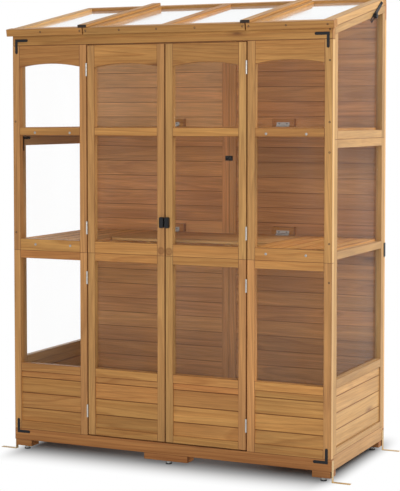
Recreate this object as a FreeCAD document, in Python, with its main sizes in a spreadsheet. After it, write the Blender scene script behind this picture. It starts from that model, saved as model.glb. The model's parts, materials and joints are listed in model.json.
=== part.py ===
import FreeCAD, Part
import math
import os
import re

# Wooden greenhouse cabinet: glazed front with two doors, glazed side walls, boarded back, a pitched
# glazed roof with two ventilation lids, fixed side shelves and folding centre shelves.
# +Z is up, the doors face -Y, the origin is on the ground under the middle of the whole outline.
# Inside the wall frame Y counts from the front face of the walls, and Z from the ground.

SIZES = {
    # Walls
    "wall_width": 1450.0,
    "wall_depth": 670.0,
    "frame_depth": 26.0,
    "stile_width": 33.0,
    "pane_thick": 3.0,
    "pane_setback": 16.0,
    "pane_clear": 0.3,
    "board_thick": 12.0,
    "board_recess": 6.0,
    "board_pitch": 67.0,
    "first_board": 55.0,
    # Feet and base
    "glide_height": 18.0,
    "glide_sole": 6.0,
    "glide_radius": 13.0,
    "glide_neck_radius": 10.0,
    "block_height": 27.0,
    "block_depth": 60.0,
    "block_inset": 3.0,
    "corner_block_width": 78.0,
    "centre_block_width": 200.0,
    "base_height": 48.0,
    "side_base_height": 58.0,
    # Ground anchors
    "anchor_thick": 2.0,
    "anchor_width": 18.0,
    "anchor_height": 87.0,
    "anchor_reach": 76.0,
    "anchor_inset": 8.0,
    "stake_hole_radius": 4.0,
    "stake_hole_margin": 16.0,
    # Front panels and doors
    "door_gap": 5.0,
    "door_clear": 4.0,
    "lower_height": 775.0,
    "upper_height": 872.0,
    "lower_bottom_rail": 36.0,
    "skirt_height": 216.0,
    "sill_rail": 35.0,
    "lower_top_rail": 34.0,
    "upper_bottom_rail": 49.0,
    "middle_window": 443.0,
    "shelf_rail": 34.0,
    "arch_rail": 91.0,
    "arch_rise": 14.0,
    "arch_land": 4.0,
    "arch_depth": 16.0,
    "arch_lap": 70.0,
    "header_height": 44.0,
    # Side walls
    "side_stile": 34.0,
    "side_bottom_rail": 28.0,
    "side_skirt": 236.0,
    "side_sill": 35.0,
    "side_mid_rise": 9.0,
    "side_mid_rail": 32.0,
    "side_seam_drop": 44.0,
    "side_top_rail": 34.0,
    "gable_bottom_rail": 34.0,
    "gable_top_rail": 30.0,
    # Back wall
    "back_depth": 20.0,
    "back_stile": 34.0,
    "back_bottom_rail": 36.0,
    "back_rail": 34.0,
    "back_top_rail": 60.0,
    "back_board_recess": 4.0,
    # Roof
    "roof_slope": 11.2,
    "roof_thick": 30.0,
    "roof_overhang": 25.0,
    "roof_back_inset": 0.4,
    "roof_side_overhang": 14.0,
    "roof_rail": 42.0,
    "roof_split": 368.0,
    "roof_gap": 4.0,
    "roof_pane_rise": 15.0,
    "lid_clear": 0.4,
    "batten_width": 40.0,
    "batten_thick": 12.0,
    "cap_thick": 2.0,
    # Shelves
    "slat_thick": 12.0,
    "slat_gap": 6.0,
    "bearer_height": 22.0,
    "bearer_depth": 24.0,
    "shelf_edge": 370.0,
    "ledge_width": 20.0,
    "ledge_inset": 40.0,
    "leaf_clear": 0.4,
    "shelf_side_clear": 3.0,
    "shelf_reach": 404.0,
    "stiffener": 20.0,
    "stiffener_offset": 190.0,
    "cleat_width": 104.0,
    "cleat_height": 35.0,
    "cleat_depth": 24.0,
    "cleat_offset": 268.0,
    "bolt_head_radius": 5.5,
    "bolt_head_height": 3.0,
    "bolt_spacing": 170.0,
    "bolt_inset": 14.0,
    # Hinges
    "knuckle_radius": 4.0,
    "pin_radius": 2.0,
    "pin_clear": 0.05,
    "leaf_thick": 1.5,
    "knuckle_gap": 0.6,
    "door_hinge_length": 54.0,
    "door_leaf_reach": 24.0,
    "hinge_inset": 105.0,
    "shelf_hinge_length": 60.0,
    "shelf_leaf_reach": 16.0,
    "lid_hinge_length": 60.0,
    "lid_leaf_reach": 22.0,
    "lid_hinge_inset": 70.0,
    # Latch on the meeting stiles
    "latch_rise": 138.0,
    "latch_height": 44.0,
    "latch_width": 18.5,
    "latch_edge": 3.0,
    "latch_proud": 14.0,
    "latch_round": 5.0,
    "latch_wall": 2.5,
    "bolt_bar_height": 9.0,
    "bolt_bar_length": 15.0,
    "bolt_side_clear": 1.5,
    "bolt_end_clear": 0.5,
    "bolt_stem_radius": 2.5,
    "bolt_stem_clear": 0.5,
    "bolt_knob_radius": 6.0,
    "bolt_knob_height": 5.0,
    # Lid stays
    "stay_pivot_back": 75.0,
    "stay_stud_back": 175.0,
    "stay_stud_drop": 22.0,
    "stay_bias": 1.2,
    "stay_wall": 3.0,
    "stay_tip": 2.0,
    "stay_thick": 3.0,
    "stay_spacer": 1.0,
    "stay_slack": 0.3,
    "stay_play": 3.2,
    "slot_travel": 43.0,
    "slot_slack": 2.0,
    "pivot_radius": 2.5,
    "pivot_head_radius": 5.0,
    "pivot_head_height": 2.5,
    "stud_radius": 2.0,
    "stud_flange_radius": 8.0,
    "knob_core_radius": 9.0,
    "knob_lobe_radius": 4.0,
    "knob_height": 12.0,
    # Plates and brackets
    "plate_thick": 2.0,
    "bracket_arm": 62.0,
    "bracket_width": 12.0,
    "bracket_edge": 13.0,
    "strap_width": 20.0,
    "strap_length": 60.0,
    "joiner_width": 36.0,
    "joiner_height": 22.0,
    "joiner_drop": 130.0,
}

DERIVED = {
    "base_bottom": "glide_height + block_height",
    "base_top": "base_bottom + base_height",
    "seam": "base_top + lower_height",
    "upper_top": "seam + upper_height",
    "header_top": "upper_top + header_height",
    "half_width": "wall_width / 2",
    "bay_width": "(wall_width - 3 * door_gap) / 4",
    "window_width": "bay_width - 2 * stile_width",
    "hinge_line": "half_width - bay_width - door_gap / 2",
    "arch_half": "window_width / 2 - arch_land",
    "arch_radius": "(arch_half ^ 2 + arch_rise ^ 2) / (2 * arch_rise)",
    "inner_back": "wall_depth - back_depth",
    "board_back": "inner_back + back_depth - back_board_recess - board_thick",
    "side_length": "inner_back - frame_depth",
    "side_span": "side_length - 2 * side_stile",
    "side_base_top": "base_bottom + side_base_height",
    "side_sill_bottom": "side_base_top + side_bottom_rail + side_skirt",
    "side_glass_bottom": "side_sill_bottom + side_sill",
    "side_mid_bottom": "seam + side_mid_rise",
    "side_mid_top": "side_mid_bottom + side_mid_rail",
    "inner_side": "half_width - frame_depth",
    "back_panel_top": "header_top + inner_back * tan(roof_slope) - back_top_rail",
    "back_span": "half_width - 2 * back_stile",
    "mid_shelf_top": "seam + upper_bottom_rail",
    "upper_shelf_top": "mid_shelf_top + middle_window + shelf_rail",
    "side_seam": "upper_shelf_top - side_seam_drop",
    "gable_glass_bottom": "side_seam + gable_bottom_rail",
    "roof_length": "(wall_depth - roof_back_inset + roof_overhang) / cos(roof_slope)",
    "roof_edge_z": "header_top - roof_overhang * tan(roof_slope)",
    "lid_inner": "roof_split + roof_gap / 2",
    "centre_half": "roof_split - roof_gap / 2",
    "lid_width": "half_width - lid_inner",
    "lid_top": "lid_clear + roof_thick",
    "seat_gap": "knuckle_radius + leaf_clear",
    "roof_reach": "roof_overhang + (lid_top + batten_thick) * sin(roof_slope) + cap_thick * cos(roof_slope)",
    "lid_axis_y": "wall_depth + seat_gap",
    "lid_axis_u": "(lid_axis_y + roof_overhang) / cos(roof_slope) + lid_clear * tan(roof_slope)",
    "lid_axis_z": "roof_edge_z + lid_axis_u * sin(roof_slope) + lid_clear * cos(roof_slope)",
    "front_y": "-(lid_axis_y + knuckle_radius - roof_reach) / 2",
    "stay_pivot_u": "roof_length - stay_pivot_back",
    "stay_pivot_v": "lid_clear + roof_thick / 2",
    "stay_pivot_y": "stay_pivot_u * cos(roof_slope) - stay_pivot_v * sin(roof_slope) - roof_overhang",
    "stay_pivot_z": "roof_edge_z + stay_pivot_u * sin(roof_slope) + stay_pivot_v * cos(roof_slope)",
    "stay_stud_y": "wall_depth - stay_stud_back",
    "stay_stud_z": "header_top + stay_stud_y * tan(roof_slope) - stay_stud_drop",
    "stay_fall": "stay_pivot_z - stay_stud_z",
    "stay_run": "stay_pivot_y - stay_stud_y",
    "stay_aim": "atan2(stay_fall; stay_run) / 1 deg + stay_bias",
    "slot_start": "sqrt(stay_fall ^ 2 + stay_run ^ 2) - slot_slack",
    "slot_end": "slot_start + slot_travel",
    "slot_width": "2 * (stud_radius + stay_play)",
    "stay_width": "slot_width + 2 * stay_wall",
    "stay_inner": "half_width + stay_spacer + stay_slack",
    "stay_outer": "stay_inner + stay_thick",
    "cleat_front": "board_back - cleat_depth",
    "shelf_axis_y": "cleat_front - seat_gap",
    "latch_z": "seam + latch_rise",
    "channel_height": "bolt_bar_height + 2 * bolt_side_clear",
    "channel_depth": "latch_proud - latch_wall",
    "channel_end": "latch_edge + latch_width - latch_wall",
    "bolt_bar_depth": "channel_depth - 2 * bolt_side_clear",
    "joiner_z": "upper_shelf_top - joiner_drop - joiner_height",
}

SHELF_SLATS = 5
FOLDING_BOARDS = 6
KNOB_LOBES = 5

NAMES = set(SIZES) | set(DERIVED)
WORD = re.compile(r"[a-z][a-z0-9_]*")

X_AXIS = FreeCAD.Vector(1, 0, 0)
Y_AXIS = FreeCAD.Vector(0, 1, 0)
Z_AXIS = FreeCAD.Vector(0, 0, 1)
ALONG_X = FreeCAD.Rotation(Y_AXIS, 90)
ALONG_Y = FreeCAD.Rotation(X_AXIS, -90)

doc = FreeCAD.newDocument("greenhouse")
sheet = doc.addObject("Spreadsheet::Sheet", "sizes")
nodes = []


def fill_sheet():
    """Write every driving size and every worked-out size into the sheet under its own name."""
    rows = [(name, str(value)) for name, value in SIZES.items()]
    rows += [(name, "=" + formula) for name, formula in DERIVED.items()]
    for number, (name, content) in enumerate(rows, start=1):
        sheet.set("A%d" % number, name)
        sheet.set("B%d" % number, content)
        sheet.setAlias("B%d" % number, name)
    doc.recompute()


def size(name):
    """A size as a plain number, for counts of repeated pieces."""
    return float(sheet.get(name))


def bind(thing, prop, formula):
    """Tie a property to a formula written with the names of the size sheet."""
    named = WORD.sub(lambda word: "sizes." + word.group() if word.group() in NAMES else word.group(),
                     str(formula))
    thing.setExpression(prop, named)


def place(thing, x=0, y=0, z=0, turn=None):
    """Put a piece at a formula for each coordinate, turned by a fixed rotation."""
    if turn is not None:
        thing.Placement = FreeCAD.Placement(FreeCAD.Vector(), turn)
    for axis, formula in zip("xyz", (x, y, z)):
        bind(thing, "Placement.Base." + axis, formula)
    return thing


def board(x, y, z, length, depth, height):
    """Straight piece of timber or plate: lowest corner, then its size along X, Y and Z."""
    box = doc.addObject("Part::Box", "board")
    bind(box, "Length", length)
    bind(box, "Width", depth)
    bind(box, "Height", height)
    return place(box, x, y, z)


def rod(x, y, z, radius, length, turn=None):
    """Round piece from its starting point along Z, or along the turned Z."""
    cylinder = doc.addObject("Part::Cylinder", "rod")
    bind(cylinder, "Radius", radius)
    bind(cylinder, "Height", length)
    return place(cylinder, x, y, z, turn)


def fused(*pieces):
    union = doc.addObject("Part::MultiFuse", "fused")
    union.Shapes = list(pieces)
    return union


def cut(base, tool):
    difference = doc.addObject("Part::Cut", "cut")
    difference.Base = base
    difference.Tool = tool
    return difference


def common(first, second):
    overlap = doc.addObject("Part::Common", "common")
    overlap.Base = first
    overlap.Tool = second
    return overlap


def copy_at(pieces, x=0, y=0, z=0, turn=None):
    """One more copy of a piece at another place."""
    group = doc.addObject("Part::Compound", "copy")
    group.Links = list(pieces)
    return place(group, x, y, z, turn)


def mirrored(piece):
    """The same piece on the other side of the middle plane."""
    image = doc.addObject("Part::Mirroring", "mirrored")
    image.Source = piece
    image.Normal = X_AXIS
    return image


def both_sides(pieces):
    return list(pieces) + [mirrored(piece) for piece in pieces]


def keep(thing, label):
    thing.Label = label
    nodes.append(thing)
    return thing


def wall_node(label, pieces):
    """Sub-part drawn in the wall frame, whose Y counts from the front face of the walls."""
    group = doc.addObject("Part::Compound", label)
    group.Links = list(pieces)
    place(group, 0, "front_y", 0)
    return keep(group, label)


def roof_node(label, pieces):
    """Sub-part drawn flat in the roof frame: Y runs up the slope from the front edge, Z is the thickness."""
    group = doc.addObject("Part::Compound", label)
    group.Links = list(pieces)
    place(group, 0, "front_y - roof_overhang", "roof_edge_z", FreeCAD.Rotation(X_AXIS, size("roof_slope")))
    bind(group, "Placement.Rotation.Angle", "roof_slope")
    return keep(group, label)


def mirror_node(label, source):
    """Right-hand twin of a left-hand sub-part."""
    return keep(mirrored(source), label)


def board_field(x, y, bottom, top, length, depth, first):
    """Horizontal boards laid one on the other from bottom to top, the first and last cut to fit."""
    rise = size_of_span(bottom, top) - size(first)
    count = 1 + math.ceil(rise / size("board_pitch"))
    boards = [board(x, y, bottom, length, depth, first)]
    for index in range(1, count):
        level = "%s + %s + %d * board_pitch" % (bottom, first, index - 1)
        height = "min(board_pitch; %s - (%s))" % (top, level)
        boards.append(board(x, y, level, length, depth, height))
    return boards


def size_of_span(bottom, top):
    """Height of a board field whose two limits are formulas of the sheet."""
    probe = board(0, 0, 0, 1, 1, "%s - (%s)" % (top, bottom))
    doc.recompute()
    height = probe.Height.Value
    doc.removeObject(probe.Name)
    return height


def roof_space(drop):
    """Everything above the plane of the roof's underside, or above a plane lower than it by drop."""
    space = board("-wall_width", 0, "header_top - (%s)" % drop,
                  "2 * wall_width", "2 * wall_depth", "wall_depth")
    space.Placement = FreeCAD.Placement(FreeCAD.Vector(), FreeCAD.Rotation(X_AXIS, size("roof_slope")))
    bind(space, "Placement.Rotation.Angle", "roof_slope")
    return space


def hinge_leaf(length, reach, offset, ends):
    """Hinge leaf on an upright axis: its plate lies at offset on the -X side and reaches towards +Y.

    The leaf with ends has the two outer knuckles, the other one has the middle knuckle.
    """
    third = "(%s / 3)" % length
    if ends:
        starts = ["-(%s) / 2" % length, "%s / 2 + knuckle_gap / 2" % third]
    else:
        starts = ["-%s / 2 + knuckle_gap / 2" % third]
    tall = "%s - knuckle_gap" % third
    if ends:
        tall = "%s - knuckle_gap / 2" % third
    pieces = [board("-(%s)" % offset, "seat_gap", "-(%s) / 2" % length,
                    "leaf_thick", "%s - seat_gap" % reach, length)]
    for start in starts:
        pieces.append(board("-(%s)" % offset, 0, start, "leaf_thick", "2 * seat_gap", tall))
        pieces.append(rod(0, 0, start, "knuckle_radius", tall))
    bore = rod(0, 0, "-(%s)" % length, "pin_radius + pin_clear", "2 * %s" % length)
    return cut(fused(*pieces), bore)


def base():
    rails = [
        board("-half_width", 0, "base_bottom", "wall_width", "frame_depth", "base_height"),
        board("-half_width", "inner_back", "base_bottom", "wall_width", "back_depth", "base_height"),
    ]
    side = board("-half_width", "frame_depth", "base_bottom",
                 "frame_depth", "side_length", "side_base_height")
    wall_node("base_rails", rails + both_sides([side]))

    rows = ["block_inset", "wall_depth - block_inset - block_depth"]
    blocks = []
    glides = []
    for row in rows:
        corner = board("-half_width + block_inset", row, "glide_height",
                       "corner_block_width", "block_depth", "block_height")
        blocks += both_sides([corner])
        blocks.append(board("-centre_block_width / 2", row, "glide_height",
                            "centre_block_width", "block_depth", "block_height"))
        middle = "%s + block_depth / 2" % row
        for x in ("-half_width + block_inset + corner_block_width / 2", "0",
                  "half_width - block_inset - corner_block_width / 2"):
            sole = rod(x, middle, 0, "glide_radius", "glide_sole")
            neck = rod(x, middle, 0, "glide_neck_radius", "glide_height")
            glides.append(fused(sole, neck))
    wall_node("foot_blocks", blocks)
    wall_node("foot_glides", glides)


def anchors():
    """Bent steel strips: a leg up the side of the base and a leg out on the ground with a stake hole."""
    strips = []
    for y in ("anchor_inset", "wall_depth - anchor_inset - anchor_width"):
        leg = board("-half_width - anchor_thick", y, 0, "anchor_thick", "anchor_width", "anchor_height")
        foot = board("-half_width - anchor_reach", y, 0, "anchor_reach", "anchor_width", "anchor_thick")
        hole = rod("-half_width - anchor_reach + stake_hole_margin", "%s + anchor_width / 2" % y,
                   "-anchor_thick", "stake_hole_radius", "3 * anchor_thick")
        strips.append(cut(fused(leg, foot), hole))
    wall_node("ground_anchors", both_sides(strips))


def lower_half(x, bottom):
    """Lower half of a door or fixed panel: timber, boards and pane. x is its left edge."""
    inner = "%s + stile_width" % x
    skirt_bottom = "base_top + lower_bottom_rail"
    sill_bottom = "%s + skirt_height" % skirt_bottom
    glass_bottom = "%s + sill_rail" % sill_bottom
    glass_top = "seam - lower_top_rail"
    tall = "seam - (%s)" % bottom
    timber = [
        board(x, 0, bottom, "stile_width", "frame_depth", tall),
        board("%s + bay_width - stile_width" % x, 0, bottom, "stile_width", "frame_depth", tall),
        board(inner, 0, bottom, "window_width", "frame_depth", "%s - (%s)" % (skirt_bottom, bottom)),
        board(inner, 0, sill_bottom, "window_width", "frame_depth", "sill_rail"),
        board(inner, 0, glass_top, "window_width", "frame_depth", "lower_top_rail"),
    ]
    boards = board_field(inner, "board_recess", skirt_bottom, sill_bottom,
                         "window_width", "board_thick", "first_board")
    pane = window_pane(inner, glass_bottom, glass_top)
    return timber, boards, [pane]


def window_pane(x, bottom, top):
    return board("%s + pane_clear" % x, "pane_setback", "%s + pane_clear" % bottom,
                 "window_width - 2 * pane_clear", "pane_thick", "%s - (%s) - 2 * pane_clear" % (top, bottom))


def upper_half(x, top):
    """Upper half of a door or fixed panel: timber with an arched top rail, and two panes."""
    inner = "%s + stile_width" % x
    window_bottom = "seam + upper_bottom_rail"
    rail_bottom = "%s + middle_window" % window_bottom
    rail_top = "%s + shelf_rail" % rail_bottom
    arch_bottom = "%s - arch_rail" % top
    tall = "%s - seam" % top
    rail = board(inner, 0, arch_bottom, "window_width", "arch_depth", "arch_rail")
    arch = rod("%s + window_width / 2" % inner, "-frame_depth", "%s + arch_rise - arch_radius" % arch_bottom,
               "arch_radius", "3 * frame_depth", ALONG_Y)
    timber = [
        board(x, 0, "seam", "stile_width", "frame_depth", tall),
        board("%s + bay_width - stile_width" % x, 0, "seam", "stile_width", "frame_depth", tall),
        board(inner, 0, "seam", "window_width", "frame_depth", "upper_bottom_rail"),
        board(inner, 0, rail_bottom, "window_width", "frame_depth", "shelf_rail"),
        cut(rail, arch),
    ]
    panes = [
        window_pane(inner, window_bottom, rail_bottom),
        window_pane(inner, rail_top, "%s + arch_lap" % arch_bottom),
    ]
    return timber, panes


def front_panels():
    """Fixed panels beside the doors, and their panes and boards, which the side walls share."""
    x = "-half_width"
    lower, boards, lower_panes = lower_half(x, "base_top")
    upper, upper_panes = upper_half(x, "upper_top")
    left = wall_node("front_left_frame", lower + upper)
    mirror_node("front_right_frame", left)
    return boards, lower_panes + upper_panes


def header():
    rail = board("-half_width", 0, "upper_top", "wall_width", "frame_depth", "2 * header_height")
    wall_node("header_rail", [cut(rail, roof_space("0"))])


def side_walls(front_boards, front_panes):
    """Left side wall with its gable, mirrored to the right."""
    x = "-half_width"
    y = "frame_depth"
    inner = "frame_depth + side_stile"
    back_stile = "inner_back - side_stile"
    tall = "side_seam - side_base_top"
    skirt_bottom = "side_base_top + side_bottom_rail"
    timber = [
        board(x, y, "side_base_top", "frame_depth", "side_stile", tall),
        board(x, back_stile, "side_base_top", "frame_depth", "side_stile", tall),
        board(x, inner, "side_base_top", "frame_depth", "side_span", "side_bottom_rail"),
        board(x, inner, "side_sill_bottom", "frame_depth", "side_span", "side_sill"),
        board(x, inner, "side_mid_bottom", "frame_depth", "side_span", "side_mid_rail"),
        board(x, inner, "side_seam - side_top_rail", "frame_depth", "side_span", "side_top_rail"),
    ]
    left = wall_node("left_side_frame", timber)
    mirror_node("right_side_frame", left)

    boards = board_field("-half_width + board_recess", inner, skirt_bottom, "side_sill_bottom",
                         "board_thick", "side_span", "board_pitch")
    wall_node("skirt_boards", both_sides(front_boards + boards))

    under_rail = roof_space("gable_top_rail")
    gable_height = "wall_depth"
    front_post = board(x, y, "side_seam", "frame_depth", "side_stile", gable_height)
    back_post = board(x, back_stile, "side_seam", "frame_depth", "side_stile", gable_height)
    slab = board(x, y, "side_seam", "frame_depth", "side_length", gable_height)
    gable = wall_node("left_gable_frame", [
        cut(front_post, under_rail),
        cut(back_post, under_rail),
        board(x, inner, "side_seam", "frame_depth", "side_span", "gable_bottom_rail"),
        common(cut(slab, roof_space("0")), under_rail),
    ])
    mirror_node("right_gable_frame", gable)

    pane_x = "-half_width + pane_setback"
    pane_y = "%s + pane_clear" % inner
    pane_span = "side_span - 2 * pane_clear"
    panes = []
    for bottom, top in (("side_glass_bottom", "side_mid_bottom"),
                        ("side_mid_top", "side_seam - side_top_rail")):
        panes.append(board(pane_x, pane_y, "%s + pane_clear" % bottom, "pane_thick", pane_span,
                           "%s - (%s) - 2 * pane_clear" % (top, bottom)))
    gable_slab = board(pane_x, pane_y, "gable_glass_bottom + pane_clear",
                       "pane_thick", pane_span, gable_height)
    panes.append(cut(gable_slab, roof_space("gable_top_rail + pane_clear")))
    wall_node("wall_panes", both_sides(front_panes + panes))


def back_wall():
    x = "-half_width"
    inner = "-half_width + back_stile"
    timber = []
    boards = []
    halves = (("base_top", "seam", "back_bottom_rail"), ("seam", "back_panel_top", "back_rail"))
    for bottom, top, bottom_rail in halves:
        tall = "%s - %s" % (top, bottom)
        field_bottom = "%s + %s" % (bottom, bottom_rail)
        field_top = "%s - back_rail" % top
        timber += [
            board(x, "inner_back", bottom, "back_stile", "back_depth", tall),
            board("-back_stile", "inner_back", bottom, "back_stile", "back_depth", tall),
            board(inner, "inner_back", bottom, "back_span", "back_depth", bottom_rail),
            board(inner, "inner_back", field_top, "back_span", "back_depth", "back_rail"),
        ]
        boards += board_field(inner, "board_back", field_bottom, field_top,
                              "back_span", "board_thick", "board_pitch")
    left = wall_node("back_left_frame", timber)
    mirror_node("back_right_frame", left)
    wall_node("back_boards", both_sides(boards))

    rail = board(x, "inner_back", "back_panel_top", "wall_width", "back_depth", "2 * back_top_rail")
    wall_node("back_top_rail", [cut(rail, roof_space("0"))])


def side_shelves():
    """Fixed shelves behind the front panels: slats from front to back on bearers and an inner ledge."""
    slat_width = "((inner_side - shelf_edge - %d * slat_gap) / %d)" % (SHELF_SLATS - 1, SHELF_SLATS)
    heads = []
    for level, top in (("mid", "mid_shelf_top"), ("upper", "upper_shelf_top")):
        slat_bottom = "%s - slat_thick" % top
        bearer_bottom = "%s - bearer_height" % slat_bottom
        pieces = []
        for index in range(SHELF_SLATS):
            slat_x = "-inner_side + %d * (%s + slat_gap)" % (index, slat_width)
            pieces.append(board(slat_x, "frame_depth", slat_bottom, slat_width, "side_length", "slat_thick"))
        front_x = "-half_width + stile_width"
        pieces.append(board(front_x, "frame_depth", bearer_bottom,
                            "window_width", "bearer_depth", "bearer_height"))
        pieces.append(board("-inner_side", "inner_back - bearer_depth", bearer_bottom,
                            "window_width", "bearer_depth", "bearer_height"))
        pieces.append(board("-shelf_edge - ledge_width", "frame_depth + ledge_inset", bearer_bottom,
                            "2 * ledge_width", "side_length - 2 * ledge_inset", "bearer_height"))
        left = wall_node("left_%s_shelf" % level, pieces)
        mirror_node("right_%s_shelf" % level, left)
        bolt_z = "%s + bearer_height / 2" % bearer_bottom
        for side in ("-", "+"):
            bolt_x = "-half_width + bay_width / 2 + bolt_inset %s bolt_spacing / 2" % side
            heads.append(rod(bolt_x, "-bolt_head_height", bolt_z,
                             "bolt_head_radius", "bolt_head_height", ALONG_Y))
    wall_node("shelf_bolts", both_sides(heads))


def centre_shelves(leaf_copies, pins):
    """Folding shelves: boards across the cabinet, hinged to cleats on the back wall."""
    wide = "(2 * (shelf_edge - shelf_side_clear))"
    board_depth = "((shelf_reach - %d * slat_gap) / %d)" % (FOLDING_BOARDS - 1, FOLDING_BOARDS)
    fixed = hinge_leaf("shelf_hinge_length", "shelf_leaf_reach", "seat_gap", True)
    moving = hinge_leaf("shelf_hinge_length", "shelf_leaf_reach", "seat_gap", False)
    to_cleat = FreeCAD.Rotation(-Y_AXIS, Z_AXIS, -X_AXIS, "XYZ")
    to_shelf = FreeCAD.Rotation(Z_AXIS, -Y_AXIS, X_AXIS, "XYZ")
    cleats = []
    for level, top in (("mid", "mid_shelf_top"), ("upper", "upper_shelf_top")):
        surface = "%s + leaf_clear" % top
        axis_z = "%s + seat_gap" % surface
        pieces = []
        for index in range(FOLDING_BOARDS):
            y = "shelf_axis_y - shelf_reach + %d * (%s + slat_gap)" % (index, board_depth)
            pieces.append(board("-shelf_edge + shelf_side_clear", y, "%s - slat_thick" % surface,
                                wide, board_depth, "slat_thick"))
        for side in ("-", "+"):
            pieces.append(board("%sstiffener_offset - stiffener / 2" % side, "shelf_axis_y - shelf_reach",
                                "%s - slat_thick - stiffener" % surface,
                                "stiffener", "shelf_reach", "stiffener"))
        wall_node("%s_folding_shelf" % level, pieces)
        leaves = []
        for side in ("-", "+"):
            x = "%scleat_offset" % side
            cleats.append(board("%s - cleat_width / 2" % x, "cleat_front", "%s + leaf_clear" % surface,
                                "cleat_width", "cleat_depth", "cleat_height"))
            leaf_copies.append(copy_at([fixed], x, "shelf_axis_y", axis_z, to_cleat))
            leaves.append(copy_at([moving], x, "shelf_axis_y", axis_z, to_shelf))
            pins.append(rod("%s - shelf_hinge_length / 2" % x, "shelf_axis_y", axis_z,
                            "pin_radius", "shelf_hinge_length", ALONG_X))
        wall_node("%s_shelf_leaves" % level, leaves)
    wall_node("shelf_cleats", cleats)


def doors(leaf_copies, pins):
    """Left door and its hinges, mirrored to the right."""
    x = "-hinge_line + door_gap / 2"
    lower, boards, lower_panes = lower_half(x, "base_top + door_clear")
    upper, upper_panes = upper_half(x, "upper_top - door_clear")
    straps = []
    for stile_x in ("%s + stile_width / 2" % x, "%s + bay_width - stile_width / 2" % x):
        straps.append(board("%s - strap_width / 2" % stile_x, "frame_depth", "seam - strap_length / 2",
                            "strap_width", "plate_thick", "strap_length"))
    fixed = hinge_leaf("door_hinge_length", "door_leaf_reach", "door_gap / 2", True)
    moving = hinge_leaf("door_hinge_length", "door_leaf_reach", "door_gap / 2", False)
    leaves = []
    jambs = []
    rods = []
    for z in ("base_top + hinge_inset", "seam - hinge_inset",
              "seam + hinge_inset", "upper_top - hinge_inset"):
        jambs.append(copy_at([fixed], "-hinge_line", "-knuckle_radius", z))
        leaves.append(copy_at([moving], "-hinge_line", "-knuckle_radius", z, FreeCAD.Rotation(Y_AXIS, 180)))
        rods.append(rod("-hinge_line", "-knuckle_radius", "%s - door_hinge_length / 2" % z,
                        "pin_radius", "door_hinge_length"))
    leaf_copies += both_sides(jambs)
    pins += both_sides(rods)
    for part, pieces in (("frame", lower + upper), ("boards", boards), ("panes", lower_panes + upper_panes),
                         ("straps", straps), ("hinge_leaves", leaves)):
        left = wall_node("left_door_" + part, pieces)
        mirror_node("right_door_" + part, left)


def latch():
    """Sliding bolt on the right door and its keeper on the left door."""
    block = board("latch_edge", "-latch_proud", "latch_z - latch_height / 2",
                  "latch_width", "latch_proud", "latch_height")
    rounded = doc.addObject("Part::Fillet", "latch_shell")
    rounded.Base = block
    doc.recompute()
    corners = [index for index, edge in enumerate(block.Shape.Edges, start=1)
               if abs(edge.tangentAt(edge.FirstParameter).y) > 0.9]
    rounded.Edges = [(index, size("latch_round"), size("latch_round")) for index in corners]
    channel = board(0, "-channel_depth", "latch_z - channel_height / 2",
                    "channel_end", "channel_depth", "channel_height")
    slot = board(0, "-2 * latch_proud", "latch_z - bolt_stem_radius - bolt_stem_clear",
                 "channel_end", "2 * latch_proud", "2 * (bolt_stem_radius + bolt_stem_clear)")
    wall_node("latch_housing", [cut(rounded, fused(channel, slot))])
    wall_node("latch_keeper", [mirrored(cut(rounded, channel))])

    rest_x = "latch_edge + bolt_end_clear"
    stem_x = "%s + bolt_bar_length - bolt_stem_radius - bolt_stem_clear" % rest_x
    bar = board(rest_x, "-bolt_side_clear - bolt_bar_depth", "latch_z - bolt_bar_height / 2",
                "bolt_bar_length", "bolt_bar_depth", "bolt_bar_height")
    knob_y = "-latch_proud - leaf_clear - bolt_knob_height"
    stem = rod(stem_x, knob_y, "latch_z", "bolt_stem_radius", "-bolt_side_clear - (%s)" % knob_y, ALONG_Y)
    knob = rod(stem_x, knob_y, "latch_z", "bolt_knob_radius", "bolt_knob_height", ALONG_Y)
    wall_node("latch_bolt", [fused(bar, stem, knob)])


def roof_frame(x, width, bottom, rafters, ear):
    """Roof panel frame with its panes between the rails, drawn flat.

    The front rail runs past the frame on its -X side by the length of the ear.
    """
    clear_length = "(roof_length - 2 * roof_rail)"
    rails = [
        board("%s - %s" % (x, ear), 0, bottom, "%s + %s" % (width, ear), "roof_rail", "roof_thick"),
        board(x, "roof_length - roof_rail", bottom, width, "roof_rail", "roof_thick"),
    ]
    bays = rafters + 1
    bay = "((%s - %d * roof_rail) / %d)" % (width, bays + 1, bays)
    panes = []
    for index in range(bays + 1):
        rail_x = "%s + %d * (%s + roof_rail)" % (x, index, bay)
        rails.append(board(rail_x, "roof_rail", bottom, "roof_rail", clear_length, "roof_thick"))
        if index < bays:
            panes.append(board("%s + roof_rail + pane_clear" % rail_x, "roof_rail + pane_clear",
                               "%s + roof_pane_rise" % bottom, "%s - 2 * pane_clear" % bay,
                               "%s - 2 * pane_clear" % clear_length, "pane_thick"))
    return rails, panes


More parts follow.
